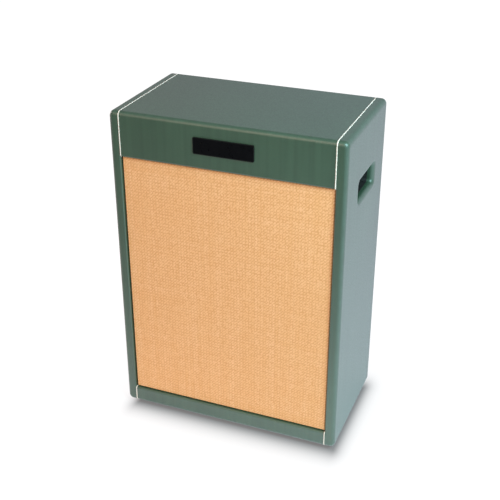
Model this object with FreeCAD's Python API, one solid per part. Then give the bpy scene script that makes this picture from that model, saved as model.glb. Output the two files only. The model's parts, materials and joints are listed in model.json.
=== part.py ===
import FreeCAD, Part
import math
import os

# A tall guitar speaker cabinet with two drivers, built piece by piece in millimetres.
# X runs to the right as seen from the front, Y to the rear, Z up.
# The origin is on the floor, at the middle of the footprint.

V = FreeCAD.Vector
right = V(1, 0, 0)
rearward = V(0, 1, 0)
up = V(0, 0, 1)

# Cabinet outside, measured over the vinyl; its height follows from the drivers below
cabinet_width = 520.0
cabinet_depth = 295.0
header_height = 100.0
corner_radius = 12.0
edge_radius = 10.0
mouth_radius = 4.0
back_recess = 15.0
vinyl = 1.0

# Plywood
side_ply = 21.0
shelf_ply = 18.0
front_ply = 21.0
baffle_ply = 18.0
back_ply = 12.0
batten = 20.0
cross_rail_height = 40.0

# Piping bead and its groove
bead_diameter = 2.8
bead_sink = 0.8
groove_clearance = 0.2
bead_tuck = 12.0

# Hand slot in each side and the cup behind it, whose collar lines the inner part of the slot
slot_front_margin = 94.0
slot_rear_margin = 82.0
slot_height = 45.0
slot_corner = 8.0
slot_round = 10.0
slot_below_top = 142.5
cup_depth = 45.0
cup_wall = 3.0
cup_flange = 14.0
collar_wall = 2.0
collar_length = 7.0

# Rubber feet
foot_height = 8.0
foot_base_radius = 17.0
foot_top_radius = 20.0
foot_inset = 50.0
foot_seat = 4.0

# Badge plate on the header
badge_width = 134.0
badge_height = 36.0
badge_below_top = 49.5
badge_proud = 2.0
badge_corner = 3.0
badge_rim = 1.5
badge_sink = 0.6
badge_stud_radius = 1.5
badge_stud_length = 9.0
badge_stud_share = 0.35

# Grille
grille_gap = 1.5
frame_ply = 13.0
frame_rail = 36.0
frame_bar = 40.0
cloth = 1.0
cloth_bend = 2.5
cloth_turn = 12.0
pad_width = 18.0
pad_length = 60.0
pad_thickness = 1.0
pad_shares = (0.14, 0.5, 0.86)

# Back panels, the lower and the upper one alike
back_gap = 1.0
centre_back_height = 240.0

# Drivers
flange_radius = 154.5
flange_width = 20.5
driver_gap = 2.0
driver_floor_gap = 6.5
gasket_width = 13.5
gasket_thickness = 4.0
bolt_inset = 6.0
bolt_count = 8
basket_wall = 1.5
basket_rim_step = 4.0
basket_rim_depth = 14.0
ledge_outer_radius = 59.0
ledge_inner_radius = 51.0
ledge_depth = 68.0
seat_depth = 82.0
seat_bore_radius = 26.0
leg_count = 6
leg_width = 24.0
window_outer_margin = 8.0
window_inner_margin = 11.0

# Cone and suspension
cone_paper = 0.9
cone_depth = 58.0
surround_width = 10.0
surround_sheet = 0.8
surround_gap = 0.5
surround_lap = 5.0
surround_rolls = 2
spider_sheet = 0.6
spider_rolls = 6
cap_radius = 32.0
cap_height = 13.0
cap_paper = 0.8
glue_gap = 0.1

# Magnet and voice coil
coil_inner_radius = 22.1
coil_former = 0.5
coil_winding = 0.6
coil_winding_length = 12.0
coil_gap = 0.6
top_plate_radius = 59.0
top_plate_thickness = 7.0
magnet_radius = 78.0
magnet_bore_radius = 35.0
magnet_thickness = 20.0
back_plate_thickness = 7.0
pole_vent_radius = 6.0

# Driver terminals
tag_width = 34.0
tag_length = 20.0
tag_thickness = 2.0
tab_width = 6.3
tab_thickness = 0.8
tab_length = 8.0
tab_spacing = 18.0
plug_width = 8.0
plug_wall = 1.5

# Screws and tee nuts
screw_clearance = 0.2
screw_head_radius = 4.5
screw_head_height = 2.4
screw_shank_radius = 2.0
screw_cross_length = 5.0
screw_cross_width = 1.0
screw_cross_depth = 1.4
back_screw_length = 28.0
baffle_screw_length = 32.0
cup_screw_length = 16.0
plate_screw_length = 10.0
foot_screw_length = 20.0
bolt_head_radius = 4.5
bolt_head_height = 3.5
bolt_shank_radius = 2.5
bolt_length = 22.0
nut_barrel_radius = 3.6
nut_barrel_length = 10.0
nut_flange_radius = 9.5
nut_flange_thickness = 1.5
back_screw_shares = (0.12, 0.5, 0.88)
baffle_screw_shares = (0.08, 0.36, 0.64, 0.92)

# Jack plate, sockets and the mono and stereo switch
plate_width = 120.0
plate_height = 56.0
plate_thickness = 1.5
plate_corner = 4.0
plate_above_bottom = 142.0
plate_window_width = 92.0
plate_window_height = 34.0
plate_screw_inset = 6.0
jack_offset = 32.0
jack_bore_radius = 3.3
jack_bore_length = 30.0
jack_bush_radius = 4.7
jack_bush_proud = 4.0
jack_body_width = 20.0
jack_body_height = 18.0
jack_body_length = 31.0
jack_nut_sides = 6
jack_nut_flats = 13.0
jack_nut_height = 2.5
rocker_radius = 8.4
rocker_width = 8.6
rocker_gap = 0.3
rocker_valley = 2.2
rocker_tilt = 8.0
rocker_pin_radius = 1.2
rocker_pin_length = 1.5
rocker_pin_gap = 0.05
switch_wall = 2.0
switch_bezel = 2.0
switch_bezel_thickness = 1.8
switch_depth = 14.0

# Speaker leads, each from its jack to its driver
# A way point is a share of the inner half width, of the way from the drivers' rear to the back batten
# and of the climb from the jacks to the driver
lead_diameter = 5.0
lead_jack_share = 0.45
lead_plug_run = 29.0
lead_batten_gap = 8.0
bend_share = 0.45
lower_lead_shares = ((0.228, 0.204, 0.243), (0.380, -0.076, 0.595))
upper_lead_rise_shares = ((0.236, 0.204, 0.023), (0.439, 0.153, 0.069), (0.658, 0.382, 0.120),
                          (0.835, 0.739, 0.206))
upper_lead_clip_shares = ((0.933, 1, 0.338), (0.949, 1, 0.493), (0.933, 1, 0.648))
upper_lead_end_shares = ((0.861, 0.739, 0.785), (0.734, 0.357, 0.894), (0.557, -0.076, 0.968))
clip_clearance = 0.6
clip_width = 14.0
clip_height = 10.0
clip_wall = 3.0

# One overrun serves every cut, and one small number finds edges
overrun = 5.0
same = 1e-6

# Planes and edges worked out from the sizes above
cutout_radius = flange_radius - gasket_width
bolt_circle_radius = flange_radius - bolt_inset
mouth_inner_radius = flange_radius - flange_width
basket_rim_radius = mouth_inner_radius - basket_rim_step
cone_rim_radius = mouth_inner_radius - surround_width
window_outer_radius = basket_rim_radius - window_outer_margin
window_inner_radius = ledge_outer_radius + window_inner_margin
rail_height = vinyl + shelf_ply + driver_floor_gap + gasket_width
driver_spacing = 2 * flange_radius + driver_gap
cabinet_height = rail_height + 2 * cutout_radius + driver_spacing + header_height
half_width = cabinet_width / 2
front_y = -cabinet_depth / 2
rear_y = cabinet_depth / 2
box_low = foot_height
box_high = box_low + cabinet_height
inner_half = half_width - vinyl - side_ply
inner_low = box_low + vinyl + shelf_ply
inner_high = box_high - vinyl - shelf_ply
inner_height = inner_high - inner_low
rail_edge = box_low + rail_height
header_edge = box_high - header_height
baffle_front = front_y + vinyl + front_ply
baffle_rear = baffle_front + baffle_ply
back_rear = rear_y - back_recess
back_front = back_rear - back_ply
groove_width = bead_diameter + 2 * groove_clearance
groove_depth = bead_sink + bead_diameter / 2 + groove_clearance
groove_inner = inner_half - groove_width
bead_proud = bead_diameter / 2 - bead_sink + groove_clearance
bead_x = inner_half - groove_width / 2
slot_length = cabinet_depth - slot_front_margin - slot_rear_margin
slot_y = (slot_front_margin - slot_rear_margin) / 2
slot_z = box_high - slot_below_top
cup_margin = vinyl - collar_wall + cup_wall
cup_corner = slot_corner + cup_margin
collar_x = inner_half + collar_length
badge_z = box_high - badge_below_top
flange_y = baffle_rear + gasket_thickness
window_middle = (rail_edge + header_edge) / 2
lower_z = rail_edge + cutout_radius
upper_z = header_edge - cutout_radius
frame_rear = baffle_front - 2 * pad_thickness
frame_front = frame_rear - frame_ply
cloth_front = frame_front - cloth
grille_half = inner_half - vinyl - grille_gap
grille_low = rail_edge + grille_gap
grille_high = header_edge - grille_gap
pad_x = grille_half - cloth - cloth_turn - glue_gap - pad_width / 2
batten_x = inner_half - batten / 2
back_half = inner_half - vinyl - back_gap
back_low = inner_low + vinyl + back_gap
back_high = inner_high - vinyl - back_gap
outer_back_height = (back_high - back_low - centre_back_height) / 2 - back_gap
lower_back_high = back_low + outer_back_height
centre_back_low = lower_back_high + back_gap
centre_back_high = centre_back_low + centre_back_height
upper_back_low = centre_back_high + back_gap
plate_z = box_low + plate_above_bottom
plate_outer = back_rear + plate_thickness


def box(x0, x1, y0, y1, z0, z1):
    return Part.makeBox(x1 - x0, y1 - y0, z1 - z0, V(x0, y0, z0))


def rod(radius, start, end):
    along = end - start
    return Part.makeCylinder(radius, along.Length, start, along)


def tube(outer, inner, start, end):
    along = (end - start).normalize() * overrun
    return rod(outer, start, end).cut(rod(inner, start - along, end + along))


def mirrored(shape):
    return shape.mirror(V(0, 0, 0), right)


def both_sides(shapes):
    return shapes + [mirrored(shape) for shape in shapes]


def group(solids):
    return Part.makeCompound(solids)


def placed(shape, origin, direction):
    shape.Placement = FreeCAD.Placement(origin, FreeCAD.Rotation(up, direction))
    return shape


def edges_along(shape, axis):
    """Straight edges that run along an axis."""
    return [edge for edge in shape.Edges
            if edge.Curve.TypeId == "Part::GeomLine" and edge.Curve.Direction.cross(axis).Length < same]


def edges_in_plane(shape, axis, place):
    """Edges whose ends lie in the plane at that place on an axis."""
    return [edge for edge in shape.Edges
            if all(abs(end.Point.dot(axis) - place) < same for end in edge.Vertexes)]


# Cabinet form, pulled in by an inset to give the vinyl, the plywood and the groove floor

def rounded_block(inset):
    half = half_width - inset
    block = box(-half, half, front_y + inset, rear_y - inset, box_low + inset, box_high - inset)
    block = block.makeFillet(corner_radius - inset, edges_along(block, rearward))
    rims = edges_in_plane(block, rearward, front_y + inset) + edges_in_plane(block, rearward, rear_y - inset)
    return block.makeFillet(edge_radius - inset, rims)


def mouth_profile(low, high, mouth, floor, radius, point):
    """Face of an opening whose sides round out to its mouth; point maps (across, y) to space."""
    way = math.copysign(1, floor - mouth)
    short = radius * (1 - math.sqrt(0.5))
    outside = mouth - way * overrun
    throat = mouth + way * radius
    bend = mouth + way * short
    low_lip, high_lip = point(low - radius, mouth), point(high + radius, mouth)
    low_throat, high_throat = point(low, throat), point(high, throat)
    shapes = [
        Part.makePolygon([low_lip, point(low - radius, outside), point(high + radius, outside), high_lip]),
        Part.Arc(high_lip, point(high + short, bend), high_throat).toShape(),
        Part.makePolygon([high_throat, point(high, floor), point(low, floor), low_throat]),
        Part.Arc(low_throat, point(low - short, bend), low_lip).toShape(),
    ]
    return Part.Face(Part.Wire([edge for shape in shapes for edge in shape.Edges]))


def mouth_pocket(half, low, high, mouth, floor, radius):
    """Opening with square corners and a rounded mouth on all four sides."""
    base = low - radius - overrun
    reach = half + radius + overrun
    across = mouth_profile(-half, half, mouth, floor, radius, lambda u, y: V(u, y, base))
    across = across.extrude(up * (high - base + radius + overrun))
    upright = mouth_profile(low, high, mouth, floor, radius, lambda u, y: V(-reach, y, u))
    upright = upright.extrude(right * (2 * reach))
    return across.common(upright)


def slot_box(x0, x1, margin):
    """Box about the middle of the right-hand slot, larger than the slot by a margin all round."""
    y = slot_length / 2 + margin
    z = slot_height / 2 + margin
    return box(x0, x1, slot_y - y, slot_y + y, slot_z - z, slot_z + z)


def slot_throat(inset, outer):
    """Straight part of the slot, from the inside of the right-hand panel out to a plane."""
    throat = slot_box(inner_half, outer, inset)
    return throat.makeFillet(slot_corner + inset, edges_along(throat, right))


def hand_slot(inset):
    """Slot through the right side, with its rounded edge standing on the outer face."""
    outer = half_width - inset
    plate = slot_box(outer, outer + overrun, inset + slot_round + overrun)
    flared = slot_throat(inset, outer).fuse(plate)
    rim = slot_box(outer - overrun, outer + overrun, inset + overrun)
    root = [edge for edge in edges_in_plane(flared, right, outer)
            if rim.isInside(edge.CenterOfMass, same, True)]
    return flared.makeFillet(slot_round - inset, root)


def cabinet_form(inset):
    half = inner_half - vinyl + inset
    low = inner_low + vinyl - inset
    high = inner_high - vinyl + inset
    radius = mouth_radius - inset
    front = mouth_pocket(half, rail_edge - inset, header_edge + inset, front_y + inset, baffle_front, radius)
    rear = mouth_pocket(half, low, high, rear_y - inset, back_rear, radius)
    return rounded_block(inset).cut([front, rear])


def slotted_form(inset):
    slot = hand_slot(inset)
    return cabinet_form(inset).cut([slot, mirrored(slot)])


def groove_zones():
    """Upper and lower stretches where the right-hand piping groove runs."""
    far = box_high + overrun
    front, rear = front_y - overrun, rear_y + overrun
    upper = box(groove_inner, inner_half, front, 0, header_edge - bead_proud, far).fuse(
        box(groove_inner, inner_half, 0, rear, inner_high - vinyl - bead_proud, far))
    lower = box(groove_inner, inner_half, front, 0, -overrun, rail_edge + bead_proud).fuse(
        box(groove_inner, inner_half, 0, rear, -overrun, inner_low + vinyl + bead_proud))
    return [upper, lower]


def bead(edge, low, high, way):
    """Piping bead on the right: round the front board's edge, over the cabinet and into the back opening."""
    sink = bead_sink
    turns = [
        (front_y + mouth_radius, edge + way * mouth_radius, mouth_radius - sink, 0, -way),
        (front_y + edge_radius, high - way * edge_radius, edge_radius - sink, -1, 0),
        (rear_y - edge_radius, high - way * edge_radius, edge_radius - sink, 0, way),
        (rear_y - mouth_radius, low + way * mouth_radius, mouth_radius - sink, 1, 0),
    ]
    ends = [(-1, 0), (0, way), (1, 0), (0, -way)]
    start = V(bead_x, front_y + bead_tuck, edge + way * sink)
    edges = []
    for (y, z, radius, y0, z0), (y1, z1) in zip(turns, ends):
        first = V(bead_x, y + radius * y0, z + radius * z0)
        last = V(bead_x, y + radius * y1, z + radius * z1)
        bisector = V(0, y0 + y1, z0 + z1).normalize() * radius
        edges.append(Part.LineSegment(start, first).toShape())
        edges.append(Part.Arc(first, V(bead_x, y, z) + bisector, last).toShape())
        start = last
    section = Part.Wire(Part.Circle(edges[0].firstVertex().Point, rearward, bead_diameter / 2).toShape())
    return Part.Wire(edges).makePipeShell([section], True, False)


# Screws

def screw(seat, direction, length):
    """Round-headed wood screw; its head stands out of the seat along the direction."""
    head = rod(screw_head_radius, V(0, 0, 0), up * screw_head_height)
    head = head.makeFillet(screw_head_height / 2, edges_in_plane(head, up, screw_head_height))
    floor = screw_head_height - screw_cross_depth
    reach, half = screw_cross_length / 2, screw_cross_width / 2
    cross = [box(-reach, reach, -half, half, floor, screw_head_height + overrun),
             box(-half, half, -reach, reach, floor, screw_head_height + overrun)]
    solid = head.fuse(rod(screw_shank_radius, up * -length, V(0, 0, 0))).cut(cross)
    return placed(solid, seat, direction)


def screw_hole(seat, direction, length):
    radius = screw_shank_radius + screw_clearance
    return placed(rod(radius, up * -(length + screw_clearance), V(0, 0, 0)), seat, direction)


def sunk_screw_hole(seat, direction, length):
    sinking = rod(screw_head_radius + screw_clearance, V(0, 0, 0), up * (screw_head_height + overrun))
    return screw_hole(seat, direction, length).fuse(placed(sinking, seat, direction))


def back_seats(low, high):
    return [V(side * batten_x, back_rear, low + share * (high - low))
            for side in (-1, 1) for share in back_screw_shares]


fixed_back_seats = back_seats(back_low, lower_back_high) + back_seats(upper_back_low, back_high)
centre_back_seats = back_seats(centre_back_low, centre_back_high)
baffle_seats = [V(side * batten_x, baffle_front + screw_head_height, inner_low + share * inner_height)
                for side in (-1, 1) for share in baffle_screw_shares]
foot_seats = [V(x * (half_width - foot_inset), y * (rear_y - foot_inset), foot_seat)
              for x in (-1, 1) for y in (-1, 1)]
plate_seats = [V(x * (plate_width / 2 - plate_screw_inset), plate_outer,
                 plate_z + z * (plate_height / 2 - plate_screw_inset)) for x in (-1, 1) for z in (-1, 1)]
cup_seat_reach = slot_length / 2 + cup_margin + cup_flange / 2
cup_seat_rise = slot_height / 2 + cup_margin
cup_seats = [V(inner_half - cup_wall, slot_y + y * cup_seat_reach, slot_z + z * cup_seat_rise)
             for y in (-1, 1) for z in (-1, 0, 1)]


def badge_rods(radius, front, rear):
    reach = badge_width * badge_stud_share
    return [rod(radius, V(x, front, badge_z), V(x, rear, badge_z)) for x in (-reach, reach)]


def badge_studs():
    return badge_rods(badge_stud_radius, front_y, front_y + badge_stud_length)


def badge_holes():
    rear = front_y + badge_stud_length + screw_clearance
    return badge_rods(badge_stud_radius + screw_clearance, front_y - overrun, rear)


def cabinet_boards():
    wood = slotted_form(vinyl)
    band = cabinet_form(0).cut(cabinet_form(groove_depth))
    grooves = [band.common(zone) for zone in groove_zones()]
    grooves = both_sides(grooves)
    far = half_width + overrun
    front_far, rear_far = front_y - overrun, rear_y + overrun
    side = wood.common(box(inner_half, far, front_far, rear_far, box_low, box_high))
    side = side.cut([screw_hole(seat, -right, cup_screw_length) for seat in cup_seats])
    top = wood.common(box(-inner_half, inner_half, front_far, rear_far, inner_high, box_high))
    bottom = wood.common(box(-inner_half, inner_half, front_far, rear_far, box_low, inner_low))
    header = wood.common(box(-inner_half, inner_half, front_far, baffle_front, header_edge, inner_high))
    rail = wood.common(box(-inner_half, inner_half, front_far, baffle_front, inner_low, rail_edge))
    foot_holes = [screw_hole(seat, -up, foot_screw_length) for seat in foot_seats]
    return {
        "right_side_panel": side,
        "left_side_panel": mirrored(side),
        "top_panel": top.cut(grooves),
        "bottom_panel": bottom.cut(grooves + foot_holes),
        "header_board": header.cut(grooves + badge_holes()),
        "front_rail": rail.cut(grooves),
    }


def vinyl_covering():
    skin = slotted_form(0).cut(slotted_form(vinyl))
    far, front_far, rear_far = half_width + overrun, front_y - overrun, rear_y + overrun
    side = skin.common(box(groove_inner, far, front_far, rear_far, box_low, box_high))
    side = side.cut(groove_zones() + [slot_throat(vinyl, collar_x)])
    top = skin.common(box(-groove_inner, groove_inner, front_far, rear_far, window_middle, box_high))
    bottom = skin.common(box(-groove_inner, groove_inner, front_far, rear_far, box_low, window_middle))
    return {
        "covering_right": side,
        "covering_left": mirrored(side),
        "covering_top": top.cut(badge_holes()),
        "covering_bottom": bottom.cut([screw_hole(seat, -up, foot_screw_length) for seat in foot_seats]),
    }


def piping():
    upper = bead(header_edge, inner_high - vinyl, box_high, 1)
    lower = bead(rail_edge, inner_low + vinyl, box_low, -1)
    return {"upper_piping": group(both_sides([upper])), "lower_piping": group(both_sides([lower]))}


def bolt_places(centre_z):
    angles = [2 * math.pi * (bolt + 0.5) / bolt_count for bolt in range(bolt_count)]
    return [(bolt_circle_radius * math.cos(a), centre_z + bolt_circle_radius * math.sin(a)) for a in angles]


all_bolt_places = bolt_places(lower_z) + bolt_places(upper_z)


def baffle_board():
    board = box(-inner_half, inner_half, baffle_front, baffle_rear, inner_low, inner_high)
    front, rear = baffle_front - overrun, baffle_rear + overrun
    cuts = [rod(cutout_radius, V(0, front, z), V(0, rear, z)) for z in (lower_z, upper_z)]
    bores = [(bolt_shank_radius, rear), (nut_barrel_radius, baffle_front + nut_barrel_length),
             (nut_flange_radius, baffle_front + nut_flange_thickness)]
    for x, z in all_bolt_places:
        cuts += [rod(radius + screw_clearance, V(x, front, z), V(x, end, z)) for radius, end in bores]
    cuts += [sunk_screw_hole(seat, -rearward, baffle_screw_length) for seat in baffle_seats]
    return board.cut(cuts)


def battens():
    inner = inner_half - batten
    front = box(inner, inner_half, baffle_rear, baffle_rear + batten, inner_low, inner_high)
    rear = box(inner, inner_half, back_front - batten, back_front, inner_low, inner_high)
    front_holes = [screw_hole(seat, -rearward, baffle_screw_length) for seat in baffle_seats]
    back_seats_all = fixed_back_seats + centre_back_seats
    back_holes = [screw_hole(seat, rearward, back_screw_length) for seat in back_seats_all]
    half = cross_rail_height / 2
    rails = [box(-inner, inner, back_front - batten, back_front, z - half, z + half)
             for z in (centre_back_low - back_gap / 2, centre_back_high + back_gap / 2)]
    return {
        "baffle_battens": group([piece.cut(front_holes) for piece in both_sides([front])]),
        "back_battens": group([piece.cut(back_holes) for piece in both_sides([rear])] + rails),
    }


def back_panels():
    spans = {
        "lower_back_panel": (back_low, lower_back_high),
        "centre_back_panel": (centre_back_low, centre_back_high),
        "upper_back_panel": (upper_back_low, back_high),
    }
    wide, tall = plate_window_width / 2, plate_window_height / 2
    window = box(-wide, wide, back_front - overrun, back_rear + overrun, plate_z - tall, plate_z + tall)
    holes = [screw_hole(seat, rearward, back_screw_length) for seat in fixed_back_seats + centre_back_seats]
    holes += [screw_hole(seat, rearward, plate_screw_length) for seat in plate_seats]
    panels = {name: box(-back_half, back_half, back_front, back_rear, low, high).cut(holes)
              for name, (low, high) in spans.items()}
    panels["lower_back_panel"] = panels["lower_back_panel"].cut(window)
    return panels


def handle_cups():
    deep = inner_half - cup_depth
    shell = slot_box(deep, inner_half, cup_margin)
    shell = shell.makeFillet(cup_corner, edges_along(shell, right) + edges_in_plane(shell, right, deep))
    flange = slot_box(inner_half - cup_wall, inner_half, cup_margin + cup_flange)
    flange = flange.makeFillet(cup_corner, edges_along(flange, right))
    collar = slot_throat(vinyl, collar_x)
    hollow = slot_box(deep + cup_wall, collar_x + overrun, cup_margin - cup_wall)
    rounded = edges_along(hollow, right) + edges_in_plane(hollow, right, deep + cup_wall)
    hollow = hollow.makeFillet(cup_corner - cup_wall, rounded)
    holes = [screw_hole(seat, -right, cup_screw_length) for seat in cup_seats]
    cup = shell.fuse([flange, collar]).cut([hollow] + holes)
    return {"right_handle_cup": cup, "left_handle_cup": mirrored(cup)}


def badge_plate():
    x, low, high = badge_width / 2, badge_z - badge_height / 2, badge_z + badge_height / 2
    face = front_y - badge_proud
    plate = box(-x, x, face, front_y, low, high)
    plate = plate.makeFillet(badge_corner, edges_along(plate, rearward))
    wide = x - badge_rim
    sunk = box(-wide, wide, face - overrun, face + badge_sink, low + badge_rim, high - badge_rim)
    sunk = sunk.makeFillet(badge_corner - badge_rim, edges_along(sunk, rearward))
    return plate.cut(sunk).fuse(badge_studs())


def feet():
    solids = []
    for seat in foot_seats:
        base = V(seat.x, seat.y, 0)
        foot = Part.makeCone(foot_base_radius, foot_top_radius, foot_height, base)
        solids.append(foot.cut(sunk_screw_hole(seat, -up, foot_screw_length)))
    return group(solids)


# Grille

def grille_core():
    half = grille_half - cloth
    core = box(-half, half, frame_front, frame_rear, grille_low + cloth, grille_high - cloth)
    return core.makeFillet(cloth_bend - cloth, edges_in_plane(core, rearward, frame_front))


def grille_frame():
    half = grille_half - cloth - frame_rail
    low, high = grille_low + cloth + frame_rail, grille_high - cloth - frame_rail
    middle = (low + high) / 2
    front, rear = frame_front - overrun, frame_rear + overrun
    windows = [box(-half, half, front, rear, low, middle - frame_bar / 2),
               box(-half, half, front, rear, middle + frame_bar / 2, high)]
    return grille_core().cut(windows)


def grille_cloth():
    rear = frame_rear + cloth
    wrap = box(-grille_half, grille_half, cloth_front, rear, grille_low, grille_high)
    wrap = wrap.makeFillet(cloth_bend, edges_in_plane(wrap, rearward, cloth_front))
    turned_in = cloth + cloth_turn
    half = grille_half - turned_in
    open_back = box(-half, half, frame_rear, rear + overrun, grille_low + turned_in, grille_high - turned_in)
    return wrap.cut([grille_core(), open_back])


def pads(front, rear):
    wide, tall = pad_width / 2, pad_length / 2
    middles = [grille_low + share * (grille_high - grille_low) for share in pad_shares]
    return group([box(x - wide, x + wide, front, rear, z - tall, z + tall)
                  for x in (-pad_x, pad_x) for z in middles])


# Drivers, turned about their own axes; depth is counted rearward from the flange face

def turned(points, centre_z):
    corners = [V(radius, flange_y + depth, centre_z) for radius, depth in points + points[:1]]
    return Part.Face(Part.makePolygon(corners)).revolve(V(0, flange_y, centre_z), rearward, 360)


def washer(outer, inner, start, end, centre_z):
    return tube(outer, inner, V(0, flange_y + start, centre_z), V(0, flange_y + end, centre_z))


def corrugated(outer, inner, rolls, sheet, depth, centre_z):
    """Ring of half-round rolls, alternately forward and rearward of the given depth."""
    pitch = (outer - inner) / rolls
    faces = []
    for roll in range(rolls):
        centre = V(outer - pitch * (roll + 0.5), flange_y + depth, centre_z)
        way = rearward if roll % 2 else -rearward
        thick, thin = right * (pitch / 2 + sheet / 2), right * (pitch / 2 - sheet / 2)
        wires = [
            Part.Arc(centre + thick, centre + way * thick.Length, centre - thick).toShape(),
            Part.LineSegment(centre - thick, centre - thin).toShape(),
            Part.Arc(centre - thin, centre + way * thin.Length, centre + thin).toShape(),
            Part.LineSegment(centre + thin, centre + thick).toShape(),
        ]
        faces.append(Part.Face(Part.Wire(wires)))
    solids = [face.revolve(V(0, flange_y, centre_z), rearward, 360) for face in faces]
    return solids[0].fuse(solids[1:])


def basket(z):
    wall = basket_wall
    inside = [(flange_radius, 0), (mouth_inner_radius, 0), (basket_rim_radius, basket_rim_depth),
              (ledge_outer_radius, ledge_depth), (ledge_inner_radius, ledge_depth),
              (ledge_inner_radius, seat_depth), (seat_bore_radius, seat_depth)]
    outside = [(radius + wall, depth + wall) for radius, depth in inside[1:-1]]
    outside = [(seat_bore_radius, seat_depth + wall)] + outside[::-1] + [(flange_radius, wall)]
    shell = turned(inside + outside, z)
    band = washer(window_outer_radius, window_inner_radius, basket_rim_depth, ledge_depth + overrun, z)
    leg = box(0, flange_radius, flange_y, flange_y + seat_depth, z - leg_width / 2, z + leg_width / 2)
    legs = [leg.copy().rotate(V(0, 0, z), rearward, 360 / leg_count * k) for k in range(leg_count)]
    return shell.cut([band.cut(legs)] + flange_holes(z))


def flange_holes(z):
    front, rear = baffle_rear - overrun, flange_y + overrun
    return [rod(bolt_shank_radius + screw_clearance, V(x, front, bolt_z), V(x, rear, bolt_z))
            for x, bolt_z in bolt_places(z)]


def gasket(z):
    return washer(flange_radius, cutout_radius, -gasket_thickness, 0, z).cut(flange_holes(z))


coil_outer_radius = coil_inner_radius + coil_former
neck_radius = coil_outer_radius + glue_gap
cone_neck_depth = cone_depth + glue_gap
cone_slope = cone_depth / (cone_rim_radius - neck_radius)
plate_start = seat_depth + basket_wall
magnet_start = plate_start + top_plate_thickness
magnet_end = magnet_start + magnet_thickness
yoke_end = magnet_end + back_plate_thickness
coil_middle = plate_start + top_plate_thickness / 2
coil_end = coil_middle + coil_winding_length / 2


def cone_front(radius):
    return glue_gap + (cone_rim_radius - radius) * cone_slope


def cone(z):
    return turned([(cone_rim_radius, glue_gap), (neck_radius, cone_neck_depth),
                   (neck_radius, cone_neck_depth + cone_paper), (cone_rim_radius, glue_gap + cone_paper)], z)


def dust_cap(z):
    radius = (cap_radius ** 2 + cap_height ** 2) / (2 * cap_height)
    base = cone_front(cap_radius) - glue_gap
    centre = V(0, flange_y + base - cap_height + radius, z)
    shell = Part.makeSphere(radius, centre).cut(Part.makeSphere(radius - cap_paper, centre))
    rim = V(0, flange_y + base, z)
    return shell.common(rod(cap_radius, rim - rearward * (cap_height + overrun), rim))


def surround(z):
    half = surround_sheet / 2
    inner = cone_rim_radius + glue_gap + half
    rolls = corrugated(mouth_inner_radius, inner, surround_rolls, surround_sheet, -surround_sheet, z)
    landing = washer(cutout_radius - surround_gap, mouth_inner_radius - half, -surround_sheet, 0, z)
    lap = washer(inner + half, cone_rim_radius - surround_lap, -surround_sheet, 0, z)
    return rolls.fuse([landing, lap])


def spider(z):
    inner = neck_radius + spider_sheet
    depth = ledge_depth - spider_sheet
    half = spider_sheet / 2
    rolls = corrugated(ledge_inner_radius, inner, spider_rolls, spider_sheet, depth, z)
    landing = washer(ledge_outer_radius, ledge_inner_radius - half, depth, ledge_depth, z)
    collar = washer(inner + half, neck_radius, depth, ledge_depth, z)
    return rolls.fuse([landing, collar])


def voice_coil(z):
    start = cone_depth - coil_winding_length / 2
    winding_start = coil_end - coil_winding_length
    wound = coil_outer_radius + coil_winding
    return turned([(coil_inner_radius, start), (coil_outer_radius, start), (coil_outer_radius, winding_start),
                   (wound, winding_start), (wound, coil_end), (coil_inner_radius, coil_end)], z)


def pole_plates(z):
    gap_radius = coil_outer_radius + coil_winding + coil_gap
    pole_radius = coil_inner_radius - coil_gap
    top_plate = washer(top_plate_radius, gap_radius, plate_start, magnet_start, z)
    yoke = turned([(pole_vent_radius, plate_start), (pole_radius, plate_start),
                   (pole_radius, magnet_end), (top_plate_radius, magnet_end),
                   (top_plate_radius, yoke_end), (pole_vent_radius, yoke_end)], z)
    return group([top_plate, yoke])


tag_middle = V((basket_rim_radius + ledge_outer_radius) / 2 + basket_wall,
               flange_y + (basket_rim_depth + ledge_depth) / 2 + basket_wall, 0)
tag_tilt = math.atan2(ledge_depth - basket_rim_depth, basket_rim_radius - ledge_outer_radius)
tab_x = tag_middle.x + tag_thickness * math.sin(tag_tilt)
tab_root = tag_middle.y + tag_thickness * math.cos(tag_tilt)
tab_tip = tab_root + tab_length


def tabs(z, clearance):
    half = tab_thickness / 2 + clearance
    wide = tab_width / 2 + clearance
    front, rear = tab_root - tag_thickness / 2, tab_tip + clearance
    return [box(tab_x - half, tab_x + half, front, rear, middle - wide, middle + wide)
            for middle in (z - tab_spacing / 2, z + tab_spacing / 2)]


def terminals(z):
    """Tag board on the slope of the basket leg that points right, with two tabs that point rearward."""
    half = tag_length / 2
    board = box(-half, half, 0, tag_thickness, -tag_width / 2, tag_width / 2)
    board.Placement = FreeCAD.Placement(tag_middle + up * z, FreeCAD.Rotation(up, -math.degrees(tag_tilt)))
    return [board] + [tab.cut(board) for tab in tabs(z, 0)]


def lead_plug(z):
    """Housing pushed over both tabs of a driver; the lead comes out of its rear."""
    half = plug_width / 2
    reach = (tab_spacing + tab_width) / 2 + plug_wall
    front = tab_root + half * math.tan(tag_tilt) + screw_clearance
    block = box(tab_x - half, tab_x + half, front, tab_tip + half, z - reach, z + reach)
    return block.cut(tabs(z, screw_clearance))


def speaker_bolts():
    solids = []
    seat = flange_y + basket_wall
    for x, z in all_bolt_places:
        head = rod(bolt_head_radius, V(x, seat, z), V(x, seat + bolt_head_height, z))
        solids.append(head.fuse(rod(bolt_shank_radius, V(x, seat - bolt_length, z), V(x, seat, z))))
    return group(solids)


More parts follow.
